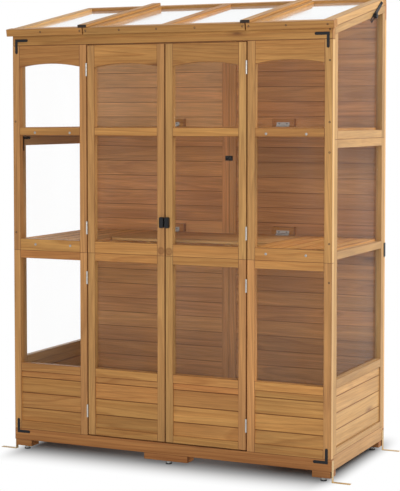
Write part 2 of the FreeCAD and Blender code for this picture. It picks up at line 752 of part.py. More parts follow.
def roof(leaf_copies, pins):
    rails, panes = roof_frame("-centre_half", "2 * centre_half", "0", 1, "0")
    roof_node("centre_roof_frame", rails)
    roof_node("centre_roof_panes", panes)

    rails, panes = roof_frame("-half_width", "lid_width", "lid_clear", 0, "roof_side_overhang")
    batten_x = "-roof_split - batten_width / 2"
    batten = board(batten_x, 0, "lid_top", "batten_width", "roof_length", "batten_thick")
    cap = board(batten_x, "-cap_thick", "lid_top", "batten_width", "cap_thick", "batten_thick")
    frame = roof_node("left_lid_frame", rails + [batten])
    mirror_node("right_lid_frame", frame)
    mirror_node("right_lid_pane", roof_node("left_lid_pane", panes))
    fittings = roof_node("left_lid_fittings", [cap, stay_pivot()])
    mirror_node("right_lid_fittings", fittings)

    fixed = hinge_leaf("lid_hinge_length", "lid_leaf_reach", "seat_gap", True)
    moving = hinge_leaf("lid_hinge_length", "lid_leaf_reach", "lid_axis_u - roof_length", False)
    to_wall = FreeCAD.Rotation(Y_AXIS, -Z_AXIS, -X_AXIS, "XYZ")
    to_lid = FreeCAD.Rotation(Y_AXIS, Z_AXIS, X_AXIS, "XYZ")
    leaves = []
    walls = []
    rods = []
    for x in ("-half_width + lid_hinge_inset", "-lid_inner - lid_hinge_inset"):
        walls.append(copy_at([fixed], x, "lid_axis_y", "lid_axis_z", to_wall))
        leaves.append(copy_at([moving], x, "lid_axis_u", "lid_clear", to_lid))
        rods.append(rod("%s - lid_hinge_length / 2" % x, "lid_axis_y", "lid_axis_z",
                        "pin_radius", "lid_hinge_length", ALONG_X))
    leaf_copies += both_sides(walls)
    pins += both_sides(rods)
    mirror_node("right_lid_leaves", roof_node("left_lid_leaves", leaves))


def stay_pivot():
    """Pivot screw of the stay in the outer rail of the lid, with its spacer and head, in the roof frame."""
    y = "stay_pivot_u"
    z = "stay_pivot_v"
    shank = rod("-stay_outer - stay_slack", y, z, "pivot_radius",
                "stay_outer + stay_slack - half_width", ALONG_X)
    spacer = rod("-half_width - stay_spacer", y, z, "pivot_head_radius", "stay_spacer", ALONG_X)
    head = rod("-stay_outer - stay_slack - pivot_head_height", y, z, "pivot_head_radius",
               "pivot_head_height", ALONG_X)
    return fused(shank, spacer, head)


def plate_outline(start, end, width, x, thick):
    """Flat bar with round ends in the YZ plane, its end centres at -start and -end along Y."""
    straight = board(x, "-(%s)" % end, "-%s / 2" % width, thick, "%s - (%s)" % (end, start), width)
    rounds = [rod(x, "-(%s)" % along, 0, "%s / 2" % width, thick, ALONG_X) for along in (start, end)]
    return fused(straight, *rounds)


def stays():
    """Slotted lid stays: arm on the lid's pivot screw, stud on the gable, clamp knob on the stud."""
    outline = plate_outline("0", "slot_end + stay_tip", "stay_width", "-stay_outer", "stay_thick")
    slot = plate_outline("slot_start", "slot_end", "slot_width",
                         "-stay_outer - stay_thick", "3 * stay_thick")
    hole = rod("-stay_outer - stay_thick", 0, 0, "pivot_radius + pin_clear", "3 * stay_thick", ALONG_X)
    arm = cut(outline, fused(slot, hole))
    placed = doc.addObject("Part::Compound", "left_stay_arm")
    placed.Links = [arm]
    place(placed, 0, "front_y + stay_pivot_y", "stay_pivot_z", FreeCAD.Rotation(X_AXIS, size("stay_aim")))
    bind(placed, "Placement.Rotation.Angle", "stay_aim")
    keep(placed, "left_stay_arm")
    mirror_node("right_stay_arm", placed)

    y = "stay_stud_y"
    z = "stay_stud_z"
    knob_start = "-stay_outer - stay_slack - knob_height"
    shaft = rod(knob_start, y, z, "stud_radius", "-half_width - (%s)" % knob_start, ALONG_X)
    flange = rod("-half_width - stay_spacer", y, z, "stud_flange_radius", "stay_spacer", ALONG_X)
    wall_node("stay_studs", both_sides([fused(shaft, flange)]))

    lobes = [rod(knob_start, y, z, "knob_core_radius", "knob_height", ALONG_X)]
    for index in range(KNOB_LOBES):
        turn = 360 * index // KNOB_LOBES
        lobes.append(rod(knob_start, "%s + knob_core_radius * cos(%d)" % (y, turn),
                         "%s + knob_core_radius * sin(%d)" % (z, turn), "knob_lobe_radius", "knob_height",
                         ALONG_X))
    bore = rod("%s - knob_height" % knob_start, y, z, "stud_radius + pin_clear", "3 * knob_height", ALONG_X)
    mirror_node("right_stay_knob", wall_node("left_stay_knob", [cut(fused(*lobes), bore)]))


def angle_bracket(x, z, up):
    """L-shaped plate on the front face with round ends, its corner at x, z and one arm up or down."""
    arm = "bracket_arm - bracket_width"
    half = "bracket_width / 2"
    upright_z = z if up else "%s - (%s)" % (z, arm)
    tip_z = "%s + %s" % (z, arm) if up else upright_z
    pieces = [
        board("%s - %s" % (x, half), "-plate_thick", "%s - %s" % (z, half), "bracket_width", "plate_thick",
              "bracket_width"),
        board("%s - %s" % (x, half), "-plate_thick", upright_z, "bracket_width", "plate_thick", arm),
        board(x, "-plate_thick", "%s - %s" % (z, half), arm, "plate_thick", "bracket_width"),
        rod(x, "-plate_thick", tip_z, half, "plate_thick", ALONG_Y),
        rod("%s + %s" % (x, arm), "-plate_thick", z, half, "plate_thick", ALONG_Y),
    ]
    return fused(*pieces)


def brackets_and_plates():
    corner_x = "-half_width + bracket_edge + bracket_width / 2"
    top = angle_bracket(corner_x, "upper_top + header_height / 2", False)
    bottom = angle_bracket(corner_x, "base_top - base_height / 4", True)
    inside = copy_at([angle_bracket("0", "0", False)], "-inner_side", "frame_depth + bracket_width",
                     "upper_shelf_top - slat_thick - bearer_height - bracket_width",
                     FreeCAD.Rotation(Z_AXIS, 90))
    wall_node("corner_brackets", both_sides([top, bottom, inside]))

    stile_x = "-half_width + bay_width - stile_width / 2"
    plates = [
        board("%s - strap_width / 2" % stile_x, "frame_depth", "seam - strap_length / 2",
              "strap_width", "plate_thick", "strap_length"),
        board("-half_width - plate_thick", "inner_back", "seam - strap_length / 2",
              "plate_thick", "strap_width", "strap_length"),
    ]
    joiners = [board("-joiner_width / 2", "inner_back - plate_thick", z, "joiner_width", "plate_thick",
                     "joiner_height") for z in ("joiner_z", "seam - strap_length - joiner_height")]
    wall_node("seam_plates", both_sides(plates) + joiners)


def build():
    fill_sheet()
    fixed_leaves = []
    pins = []
    base()
    anchors()
    front_boards, front_panes = front_panels()
    header()
    side_walls(front_boards, front_panes)
    back_wall()
    side_shelves()
    centre_shelves(fixed_leaves, pins)
    doors(fixed_leaves, pins)
    latch()
    roof(fixed_leaves, pins)
    stays()
    brackets_and_plates()
    wall_node("hinge_fixed_leaves", fixed_leaves)
    wall_node("hinge_pins", pins)
    doc.recompute()


def check():
    """Stop before anything is written if an object failed or a sub-part is empty or not valid."""
    failed = [thing.Label for thing in doc.Objects if {"Invalid", "Error"} & set(thing.State)]
    if failed:
        raise RuntimeError("failed objects: " + ", ".join(failed))
    for thing in nodes:
        if thing.Shape.isNull() or not thing.Shape.Solids or not thing.Shape.isValid():
            raise RuntimeError("bad shape: " + thing.Label)


def write():
    os.makedirs("parts", exist_ok=True)
    for thing in nodes:
        thing.Shape.exportStep("parts/%s.step" % thing.Label)


build()
check()
write()
for name in ("front_y", "hinge_line", "lid_axis_y", "lid_axis_z", "stay_pivot_y", "stay_pivot_z",
             "stay_stud_y", "stay_stud_z", "shelf_axis_y", "mid_shelf_top", "upper_shelf_top", "latch_z"):
    print(name, round(size(name), 4))
print(len(nodes), "sub-parts")
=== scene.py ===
import json
import math
import random

import bmesh
import bpy
from mathutils import Matrix, Vector


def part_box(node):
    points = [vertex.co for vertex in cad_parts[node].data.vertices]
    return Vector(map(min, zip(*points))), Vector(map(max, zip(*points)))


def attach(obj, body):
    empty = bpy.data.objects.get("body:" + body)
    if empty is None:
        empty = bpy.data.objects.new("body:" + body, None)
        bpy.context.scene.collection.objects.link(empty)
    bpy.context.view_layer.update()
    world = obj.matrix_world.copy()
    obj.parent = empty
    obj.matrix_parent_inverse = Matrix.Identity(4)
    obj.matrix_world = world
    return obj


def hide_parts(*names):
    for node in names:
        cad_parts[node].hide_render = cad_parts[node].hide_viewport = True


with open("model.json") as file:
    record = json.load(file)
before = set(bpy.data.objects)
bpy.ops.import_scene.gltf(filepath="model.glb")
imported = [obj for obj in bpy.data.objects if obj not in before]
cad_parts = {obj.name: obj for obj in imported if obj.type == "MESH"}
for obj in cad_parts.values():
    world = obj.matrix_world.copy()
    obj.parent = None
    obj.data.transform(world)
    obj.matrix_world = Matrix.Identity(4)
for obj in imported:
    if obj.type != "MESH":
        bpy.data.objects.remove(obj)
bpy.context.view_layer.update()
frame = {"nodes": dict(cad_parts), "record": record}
nodes = frame["nodes"]
slot_of = {part["node"]: part["material_slot"] for part in frame["record"]["subparts"]}
body_of = {}
for body_name, members in frame["record"]["behaviour"]["bodies"].items():
    for member in members:
        body_of[member] = body_name

MM = 0.001
WHITE = (1.0, 1.0, 1.0, 1.0)
FORWARD = Vector((0, -1, 0))
FRONT_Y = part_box("front_left_frame")[0].y
ROOF_SLOPE = math.radians(11.2)
ROOF_THICK = 30 * MM

# Edges: small rounds on frames and fittings, open V-grooves along the profile boards
ROUND = 1.1 * MM
HEADER_ROUND = 2.4 * MM
METAL_ROUND = 0.5 * MM
ROUND_STEPS = 2
ROUND_PROFILE = 0.6
GROOVE = 2.4 * MM
BACK_GROOVE = 1.5 * MM
GROOVED = {"skirt_boards", "back_boards", "left_door_boards", "right_door_boards"}

# Bends between faces: less than the first is flat, more than the second is rounded, more than the third stays
# sharp in the shading
FLAT_BEND = math.radians(0.5)
ROUND_BEND = math.radians(32)
SHARP_BEND = math.radians(50)

# Cosines that tell directions apart
ACROSS = 0.3
UPRIGHT = 0.9
SIDEWAYS = 0.9
CUT_END = 0.95
PARALLEL = 0.99
INWARD = -0.5

# How dark the rounded edges, grooves and cut ends are: painted shade and gathered stain in the grooves and
# joints, and darker end grain at the cut ends; the outer faces of the corner stiles get a painted highlight
# instead
GROOVE_SHADE = 0.8
BACK_GROOVE_SHADE = 0.55
EDGE_SHADE = 0.95
END_SHADE = 0.35
CORNER_PAINTED_HIGHLIGHT = -0.4
CORNER_X = 720 * MM
CORNER_FRAMES = {"front_left_frame", "front_right_frame", "back_left_frame", "back_right_frame"}

# Tone of the boards: a tint for each node and a spread between its boards; the high tint of the back boards
# is partly painted light inside the cabinet
TONE_SPREAD = 0.34
BOARD_TINT = {
    "base_rails": -0.95, "foot_blocks": -0.7, "header_rail": -1.1, "skirt_boards": -0.2,
    "front_left_frame": 0.15, "front_right_frame": 0.15, "left_door_frame": 0.15, "right_door_frame": 0.15,
    "left_side_frame": -0.65, "right_side_frame": -0.65, "left_gable_frame": -1.1, "right_gable_frame": -1.1,
    "back_boards": 1.0, "back_left_frame": 1.0, "back_right_frame": 0.6,
    "left_lid_frame": -0.5, "right_lid_frame": -0.5, "centre_roof_frame": -0.6,
    "left_mid_shelf": 2.1, "right_mid_shelf": 0.6, "mid_folding_shelf": 1.4,
    "left_upper_shelf": -0.8, "right_upper_shelf": -0.8,
}

# Hue of the boards, from yellow to red
RED_HUE = (0.65, 1.0)
PLAIN_HUE = 0.65
CALM_HUE = 0.4
REDDER = {"base_rails", "foot_blocks", "back_boards", "back_left_frame", "back_right_frame", "back_top_rail"}
ROOF_FRAMES = {"left_lid_frame", "right_lid_frame", "centre_roof_frame"}

# Paler boards: a painted sheen on the outer sides, with a calmer hue and painted light on their base rails;
# also the standing members of the front, the back and two of the shelves
SIDE_TIMBER = {"skirt_boards", "left_side_frame", "right_side_frame", "left_gable_frame", "right_gable_frame",
               "left_lid_frame", "right_lid_frame", "base_rails"}
SIDE_X = 650 * MM
SIDE_BEHIND = 30 * MM
SIDE_PAINTED_SHEEN = 0.35
SIDE_BASE_PAINTED_LIGHT = 0.45
FRONT_FRAMES = {"front_left_frame", "front_right_frame", "left_door_frame", "right_door_frame"}
STILE_PALE = 0.14
BACK_PALE = 0.2
PALE_SHELVES = {"left_mid_shelf", "mid_folding_shelf"}
SHELF_PALE = 0.35

# Painted light and shade on the inner face of the back boards, by panel and by the heights of the shelves:
# lighter on the left and above the upper shelf there, darker on the right and between the shelves there
BACK_PANEL_PAINTED_LIGHT = 0.45
MIDDLE_BACK = 0.92
MIDDLE_BACK_PAINTED_SHADE = -1.0
UPPER_BACK = 1.40
UPPER_BACK_PAINTED_LIGHT = 0.6
UPPER_BACK_PAINTED_PALE = 0.42

# Place of each board in a tree of its own: offset along the log, distance from the heart, lean of the grain
GRAIN_OFFSET = 40.0
HEART_ASIDE = 0.05
HEART_DEPTH = (0.03, 0.13)
LEAN_ACROSS = 0.03
LEAN_THROUGH = 0.035

# Features of the grain, in cycles per metre along, across and through a board
RING_WANDER = (1.6, 9.0, 9.0)
FIBRE = (5.0, 420.0, 420.0)
STREAK = (1.1, 46.0, 46.0)
CLOUD = (2.2, 7.0, 7.0)
VEIN = (5.0, 150.0, 150.0)
KNOT_CELLS = (3.1, 11.0, 3.0)
WANDER_REACH = (0.0, 0.030, 0.030)
RING_SCALE = 24.0
KNOT_RARITY = 0.80

# Tones from the first pair become brightness from the second
TONE_RANGE = (-1.5, 1.5)
LEVEL_RANGE = (0.72, 1.24)

# A pair of knots where the door halves meet, one on each meeting stile
STILE_KNOTS = ((-0.0185, FRONT_Y, 0.889), (0.0175, FRONT_Y, 0.887))
STILE_KNOT_RADII = (0.017, 0.05, 0.019)

# Black on the face of the stiles behind the latch, which shows between its two halves
LATCH_SEAT = (0.0, FRONT_Y, 1.006)
LATCH_SEAT_RADII = (0.017, 0.002, 0.017)


# Materials

class Nodes:
    """A node tree with short ways to add to it."""

    def __init__(self, tree):
        self.tree = tree
        tree.nodes.clear()

    def node(self, kind, inputs=None, **settings):
        made = self.tree.nodes.new(kind)
        for key, value in settings.items():
            setattr(made, key, value)
        for key, value in (inputs or {}).items():
            self.feed(made.inputs[key], value)
        return made

    def feed(self, socket, value):
        if isinstance(value, bpy.types.NodeSocket):
            self.tree.links.new(value, socket)
        else:
            socket.default_value = value

    def math(self, operation, a, b=0.0, clamp=False):
        return self.node("ShaderNodeMath", {0: a, 1: b}, operation=operation, use_clamp=clamp).outputs[0]

    def vector(self, operation, a, b=(0.0, 0.0, 0.0)):
        made = self.node("ShaderNodeVectorMath", {0: a, 1: b}, operation=operation)
        return made.outputs["Value" if operation == "LENGTH" else "Vector"]

    def seen(self):
        """One for rays from the camera and from mirrors and clear sheets, and nought for other rays."""
        path = self.node("ShaderNodeLightPath")
        mirrored = self.math("MAXIMUM", path.outputs["Is Glossy Ray"], path.outputs["Is Transmission Ray"])
        return self.math("MAXIMUM", path.outputs["Is Camera Ray"], mirrored)


class Shader(Nodes):
    """A node material with a Principled shader at its end."""

    def __init__(self, name, shine=0.5):
        self.material = bpy.data.materials.new(name)
        self.material.use_nodes = True
        super().__init__(self.material.node_tree)
        self.out = self.node("ShaderNodeOutputMaterial")
        self.bsdf = self.node("ShaderNodeBsdfPrincipled")
        self.bsdf.inputs["Specular IOR Level"].default_value = shine
        self.tree.links.new(self.bsdf.outputs["BSDF"], self.out.inputs["Surface"])

    def set(self, **inputs):
        for key, value in inputs.items():
            self.feed(self.bsdf.inputs[key.replace("_", " ")], value)

    def attribute(self, name, output="Vector"):
        return self.node("ShaderNodeAttribute", attribute_name=name).outputs[output]

    def coords(self):
        return self.node("ShaderNodeTexCoord").outputs["Object"]

    def parts(self, vector):
        return self.node("ShaderNodeSeparateXYZ", {0: vector}).outputs

    def scaled(self, vector, scale):
        return self.vector("MULTIPLY", vector, scale)

    def away(self, place, radii):
        """Distance from a place, as a share of the radii of an ellipsoid round it."""
        offset = self.vector("SUBTRACT", self.coords(), place)
        return self.vector("LENGTH", self.scaled(offset, tuple(1 / radius for radius in radii)))

    def noise(self, vector, scale, detail=2.0, roughness=0.5, distortion=0.0):
        made = self.node("ShaderNodeTexNoise", {"Vector": vector, "Scale": scale, "Detail": detail,
                                                "Roughness": roughness, "Distortion": distortion})
        return made.outputs["Fac"]

    def span(self, value, source, target=(0.0, 1.0), **settings):
        """A value of the source range moved to the target range."""
        inputs = {"Value": value, "From Min": source[0], "From Max": source[1],
                  "To Min": target[0], "To Max": target[1]}
        return self.node("ShaderNodeMapRange", inputs, **settings).outputs[0]

    def ramp(self, fac, *stops):
        made = self.node("ShaderNodeValToRGB", {"Fac": fac})
        elements = made.color_ramp.elements
        while len(elements) < len(stops):
            elements.new(0.5)
        for element, (place, grey) in zip(elements, stops):
            element.position = place
            element.color = (grey, grey, grey, 1)
        return made.outputs["Color"]

    def mix(self, fac, a, b, blend="MIX"):
        made = self.node("ShaderNodeMix", data_type="RGBA", blend_type=blend)
        self.feed(made.inputs["Factor"], fac)
        self.feed(made.inputs[6], a)
        self.feed(made.inputs[7], b)
        return made.outputs[2]

    def shaded(self, colour, fac, *stops):
        """Colour made darker or lighter by a ramp."""
        return self.mix(1.0, colour, self.ramp(fac, *stops), "MULTIPLY")

    def bump(self, height, strength, distance):
        return self.node("ShaderNodeBump", {"Height": height, "Strength": strength,
                                            "Distance": distance}).outputs["Normal"]


def rgb(r, g, b):
    """Linear colour from the 0 to 255 values of a picture."""
    def linear(value):
        value /= 255
        return value / 12.92 if value <= 0.04045 else ((value + 0.055) / 1.055) ** 2.4
    return (linear(r), linear(g), linear(b), 1.0)


def fir_material(name, shine):
    """Stained softwood: growth rings round a tilted heart, fibres along the board, knots and board tones,
    with painted shade in the grooves, a painted highlight on the corner stiles and painted sheen and light
    from the board attributes.
    """
    s = Shader(name, shine)
    grain = s.attribute("grain")
    tone, hue, pale = s.parts(s.attribute("board"))
    edge = s.attribute("edge", "Fac")

    wander = s.node("ShaderNodeTexNoise", {"Vector": s.scaled(grain, RING_WANDER), "Scale": 1.0,
                                           "Detail": 3.0})
    drift = s.vector("SUBTRACT", wander.outputs["Color"], (0.5, 0.5, 0.5))
    bent = s.vector("ADD", grain, s.scaled(drift, WANDER_REACH))
    rings = s.node("ShaderNodeTexWave", {"Vector": bent, "Scale": RING_SCALE, "Distortion": 0.0},
                   wave_type="RINGS", rings_direction="X", wave_profile="SAW").outputs["Fac"]
    late = s.ramp(rings, (0.0, 0.0), (0.62, 0.28), (0.9, 1.0), (1.0, 0.1))
    fibre = s.noise(s.scaled(grain, FIBRE), 1.0, 5.0, 0.65)
    streak = s.noise(s.scaled(grain, STREAK), 1.0, 4.0, 0.6)
    cloud = s.noise(s.scaled(grain, CLOUD), 1.0, 2.0)
    vein = s.noise(s.scaled(grain, VEIN), 1.0, 3.0, 0.6)

    light = s.mix(hue, rgb(209, 157, 88), rgb(205, 137, 78))
    dark = s.mix(hue, rgb(172, 116, 57), rgb(160, 93, 48))
    colour = s.mix(s.math("MULTIPLY", late, 0.6), light, dark)
    colour = s.mix(s.ramp(streak, (0.35, 0.0), (0.7, 0.62)), colour, dark)
    # Paler towards a light tan: the boards' own tone, with a painted sheen on the outer sides and painted
    # light inside the back
    colour = s.mix(pale, colour, rgb(214, 182, 134))
    colour = s.shaded(colour, fibre, (0.3, 0.82), (0.7, 1.08))
    colour = s.shaded(colour, cloud, (0.3, 0.90), (0.7, 1.07))
    colour = s.shaded(colour, vein, (0.32, 0.89), (0.68, 1.10))

    knots = s.node("ShaderNodeTexVoronoi", {"Vector": s.scaled(grain, KNOT_CELLS), "Scale": 1.0},
                   feature="F1")
    rare = s.math("GREATER_THAN", s.parts(knots.outputs["Color"])[0], KNOT_RARITY)
    core = s.ramp(knots.outputs["Distance"], (0.03, 1.0), (0.085, 0.45), (0.20, 0.0))
    knot = s.math("MULTIPLY", core, rare)
    colour = s.mix(s.math("MULTIPLY", knot, 0.75), colour, rgb(104, 56, 28))
    for place in STILE_KNOTS:
        ragged = s.math("MULTIPLY", s.math("SUBTRACT", streak, 0.5), 0.5)
        ring = s.math("ADD", s.away(place, STILE_KNOT_RADII), ragged)
        dark_ring = s.ramp(ring, (0.0, 0.6), (0.35, 0.35), (0.7, 0.6), (1.0, 0.0))
        colour = s.mix(dark_ring, colour, rgb(122, 70, 34))

    level = s.span(tone, TONE_RANGE, LEVEL_RANGE, clamp=False)
    colour = s.mix(1.0, colour, level, "MULTIPLY")
    # Painted shade and gathered stain in the grooves and along the joints, and darker end grain at the cut
    # ends
    colour = s.mix(s.math("MULTIPLY", edge, 0.72), colour, rgb(104, 56, 27))
    # Painted highlight on the outer side faces of the corner stiles
    colour = s.mix(s.math("MULTIPLY", edge, -1.0, True), colour, rgb(228, 196, 140))
    seat = s.math("LESS_THAN", s.away(LATCH_SEAT, LATCH_SEAT_RADII), 1.0)
    colour = s.mix(seat, colour, rgb(22, 22, 24))

    height = s.math("ADD", s.math("MULTIPLY", fibre, 0.7), s.math("MULTIPLY", late, 0.3))
    s.set(Base_Color=colour, Roughness=s.ramp(streak, (0.3, 0.44), (0.75, 0.60)),
          Normal=s.bump(height, 0.22, 0.0006))
    return s.material


def pane_material():
    """Clear sheet with a faint haze in smears, and more of a mirror the flatter it is seen."""
    s = Shader("clear_pane")
    smear = s.noise(s.scaled(s.coords(), (3.0, 3.0, 1.3)), 1.0, 3.0, 0.55, 0.6)
    facing = s.node("ShaderNodeLayerWeight", {"Blend": 0.5}).outputs["Facing"]
    gloss = s.math("MULTIPLY", s.math("POWER", facing, 14.0), 5.4)
    s.set(Base_Color=s.mix(smear, (0.90, 0.92, 0.93, 1), (0.96, 0.97, 0.97, 1)),
          Alpha=s.math("ADD", s.ramp(smear, (0.35, 0.004), (0.75, 0.020)), gloss, True),
          Roughness=s.ramp(smear, (0.3, 0.05), (0.8, 0.16)), Metallic=0.7)
    return s.material


def metal_material(name, low, high, metallic, rough, grainy, bump, shine=0.5):
    """Metal or moulded plastic, with patches between two colours and a fine uneven surface."""
    s = Shader(name, shine)
    spot = s.coords()
    patch = s.noise(spot, 55.0, 3.0)
    fine = s.noise(spot, grainy, 4.0, 0.6)
    s.set(Base_Color=s.mix(patch, low, high), Metallic=metallic,
          Roughness=s.ramp(fine, (0.25, rough - 0.1), (0.75, rough + 0.1)),
          Normal=s.bump(fine, bump, 0.0003))
    return s.material


def glide_material():
    """Pale moulded plastic on a dark sole."""
    s = Shader("glide_plastic")
    spot = s.coords()
    wavy = s.math("ADD", s.parts(spot)[2], s.math("MULTIPLY", s.noise(spot, 90.0), 1.2 * MM))
    sole = s.span(wavy, (6.0 * MM, 6.8 * MM))
    fine = s.noise(spot, 900.0, 3.0)
    pale = s.mix(fine, rgb(205, 205, 200), rgb(222, 222, 218))
    s.set(Base_Color=s.mix(sole, rgb(44, 44, 46), pale), Roughness=s.ramp(fine, (0.3, 0.42), (0.7, 0.56)),
          Normal=s.bump(fine, 0.1, 0.0002))
    return s.material


# Two colours, how metallic, how rough, scale and depth of the fine surface and, for some, strength of shine
METALS = {
    "zinc_steel": ((0.39, 0.37, 0.35, 1), (0.52, 0.50, 0.47, 1), 1.0, 0.38, 700.0, 0.08),
    "black_steel": (rgb(20, 20, 22), rgb(30, 30, 32), 0.0, 0.5, 1500.0, 0.25, 0.25),
    "anchor_steel": (rgb(190, 158, 106), rgb(214, 184, 134), 0.35, 0.42, 600.0, 0.1),
    "knob_plastic": (rgb(21, 21, 23), rgb(29, 29, 31), 0.0, 0.52, 1200.0, 0.2, 0.3),
    "lid_cap_steel": (rgb(40, 31, 25), rgb(58, 44, 34), 0.0, 0.5, 1500.0, 0.25, 0.25),
    "leaf_screw_steel": (rgb(70, 70, 72), rgb(98, 98, 100), 0.5, 0.45, 800.0, 0.1),
    "screw_steel": (rgb(52, 34, 22), rgb(72, 50, 33), 0.25, 0.5, 800.0, 0.1),
}
materials = {name: metal_material(name, *look) for name, look in METALS.items()}
materials["fir"] = fir_material("fir", 0.28)
materials["shelf_fir"] = fir_material("shelf_fir", 0.05)
materials["clear_pane"] = pane_material()
materials["glide_plastic"] = glide_material()


# Dressed copies of the CAD solids, with rounded edges, grain along each board and a tone of its own

def solids_of(node):
    """Corner points of a node and, for each of its solids, the faces as lists of point numbers."""
    mesh = nodes[node].data
    numbers = {}
    points = []
    index = []
    for vertex in mesh.vertices:
        spot = tuple(round(value, 6) for value in vertex.co)
        if spot not in numbers:
            numbers[spot] = len(points)
            points.append(Vector(spot))
        index.append(numbers[spot])
    solids = []
    faces = []
    loose = set()
    for polygon in mesh.polygons:
        corners = [index[number] for number in polygon.vertices]
        faces.append(corners)
        for pair in zip(corners, corners[1:] + corners[:1]):
            if pair[::-1] in loose:
                loose.remove(pair[::-1])
            else:
                loose.add(pair)
        if not loose:
            solids.append(faces)
            faces = []
    return points, solids


def solid_mesh(points, faces):
    """One solid with its flat faces whole again."""
    solid = bmesh.new()
    made = {}
    for face in faces:
        for corner in face:
            if corner not in made:
                made[corner] = solid.verts.new(points[corner])
        solid.faces.new([made[corner] for corner in face])
    solid.normal_update()
    bmesh.ops.dissolve_limit(solid, angle_limit=FLAT_BEND, verts=solid.verts[:], edges=solid.edges[:])
    solid.normal_update()
    return solid


def edge_line(edge):
    """From one end of an edge to the other."""
    return edge.verts[1].co - edge.verts[0].co


def longest_line(edges):
    """The longest of these edges, from one end to the other."""
    return edge_line(max(edges, key=lambda edge: edge.calc_length()))


def box_middle(spots):
    """Middle of the box round these points."""
    return Vector([(min(axis) + max(axis)) / 2 for axis in zip(*spots)])


def board_axes(solid):
    """Directions along the grain, across the face and through the thickness of a board."""
    along = longest_line(solid.edges).normalized()
    flats = [face for face in solid.faces if abs(face.normal.dot(along)) < ACROSS]
    through = max(flats, key=lambda face: face.calc_area()).normal.copy()
    through = (through - along * through.dot(along)).normalized()
    return along, through.cross(along), through


def rounded(solid, edges, width, steps):
    """Bevel these edges and return the new faces."""
    if not edges:
        return set()
    made = bmesh.ops.bevel(solid, geom=edges, offset=width, offset_type="OFFSET", segments=steps,
                           profile=ROUND_PROFILE, affect="EDGES", clamp_overlap=True)
    return set(made["faces"])


def sharp_edges(solid):
    """Edges that bend enough to be rounded."""
    return [edge for edge in solid.edges
            if len(edge.link_faces) == 2 and edge.calc_face_angle(0.0) > ROUND_BEND]


def place_in_scene(name, data):
    """New object with this mesh, lamp or camera."""
    made = bpy.data.objects.new(name, data)
    bpy.context.scene.collection.objects.link(made)
    return made


class Dress:
    """Collects dressed solids into one mesh with its attributes."""

    def __init__(self):
        self.points = []
        self.faces = []
        self.grain = []
        self.board = []
        self.edge = []

    def add(self, solid, grain=None, board_of=None, edge_of=None):
        start = len(self.points)
        solid.verts.index_update()
        for vert in solid.verts:
            self.points.append(vert.co.copy())
            self.grain.append(grain(vert.co) if grain else vert.co.copy())
        for face in solid.faces:
            self.faces.append([start + vert.index for vert in face.verts])
            self.board.append(board_of(face) if board_of else (0, 0, 0))
            self.edge.append(edge_of(face) if edge_of else 0.0)
        solid.free()

    def piece(self, name, material):
        mesh = bpy.data.meshes.new(name)
        mesh.from_pydata(self.points, [], self.faces)
        mesh.materials.append(material)
        for polygon in mesh.polygons:
            polygon.use_smooth = True
        mesh.set_sharp_from_angle(angle=SHARP_BEND)
        for label, domain, values in (("grain", "POINT", self.grain), ("board", "FACE", self.board)):
            layer = mesh.attributes.new(label, "FLOAT_VECTOR", domain)
            layer.data.foreach_set("vector", [part for value in values for part in value])
        mesh.attributes.new("edge", "FLOAT", "FACE").data.foreach_set("value", self.edge)
        made = place_in_scene(name, mesh)
        made.modifiers.new("even_normals", "WEIGHTED_NORMAL").keep_sharp = True
        return made


def grain_of(middle, axes, chance):
    """Gives points their place in the tree that a board was cut from."""
    along, across, through = axes
    shift = Vector((chance.uniform(0, GRAIN_OFFSET), chance.uniform(-HEART_ASIDE, HEART_ASIDE),
                    chance.choice((-1, 1)) * chance.uniform(*HEART_DEPTH)))
    lean_across = chance.uniform(-LEAN_ACROSS, LEAN_ACROSS)
    lean_through = chance.uniform(-LEAN_THROUGH, LEAN_THROUGH)

    def grain(spot):
        rel = spot - middle
        run = rel.dot(along)
        place = Vector((run, rel.dot(across) + lean_across * run, rel.dot(through) + lean_through * run))
        return place + shift

    return grain


def board_look(node, middle, along, chance):
    """Tone, hue and paleness of one board."""
    tone = BOARD_TINT.get(node, 0.0) + chance.gauss(0, TONE_SPREAD)
    hue = chance.uniform(*RED_HUE) if node in REDDER else PLAIN_HUE * chance.random()
    pale = BACK_PALE if node.startswith("back_") else 0.0
    if node in ROOF_FRAMES:
        hue *= CALM_HUE
    if node in PALE_SHELVES:
        pale = SHELF_PALE
    # Painted sheen on the outer sides: paler and calmer in hue, with painted light on the side base rails
    if node in SIDE_TIMBER and abs(middle.x) > SIDE_X and middle.y > FRONT_Y + SIDE_BEHIND:
        pale = SIDE_PAINTED_SHEEN
        hue *= CALM_HUE
        if node == "base_rails":
            tone += SIDE_BASE_PAINTED_LIGHT
    if node in FRONT_FRAMES and abs(along.z) > UPRIGHT:
        pale = STILE_PALE
    return tone, hue, pale


def inner_painted_look(middle, tone, hue, pale):
    """Tone, hue and paleness of the face that a back board turns to the inside, with light and shade painted
    on by panel and level.
    """
    if middle.x > 0:
        tone -= BACK_PANEL_PAINTED_LIGHT
        if MIDDLE_BACK < middle.z < UPPER_BACK:
            tone += MIDDLE_BACK_PAINTED_SHADE
    else:
        tone += BACK_PANEL_PAINTED_LIGHT
        if middle.z > UPPER_BACK:
            tone += UPPER_BACK_PAINTED_LIGHT
            pale = UPPER_BACK_PAINTED_PALE
    return tone, hue, pale


def round_or_groove(solid, node, along, lowest):
    """Round the edges of a member, or groove a profile board; returns the new faces and the painted shade
    they get.
    """
    if node not in GROOVED:
        width = HEADER_ROUND if node == "header_rail" else ROUND
        return rounded(solid, sharp_edges(solid), width, ROUND_STEPS), EDGE_SHADE
    long_edges = [edge for edge in solid.edges if edge.verts[0].co.z > lowest + 1 * MM
                  and abs(edge_line(edge).normalized().dot(along)) > PARALLEL]
    if node == "back_boards":
        return rounded(solid, long_edges, BACK_GROOVE, 1), BACK_GROOVE_SHADE
    return rounded(solid, long_edges, GROOVE, 1), GROOVE_SHADE


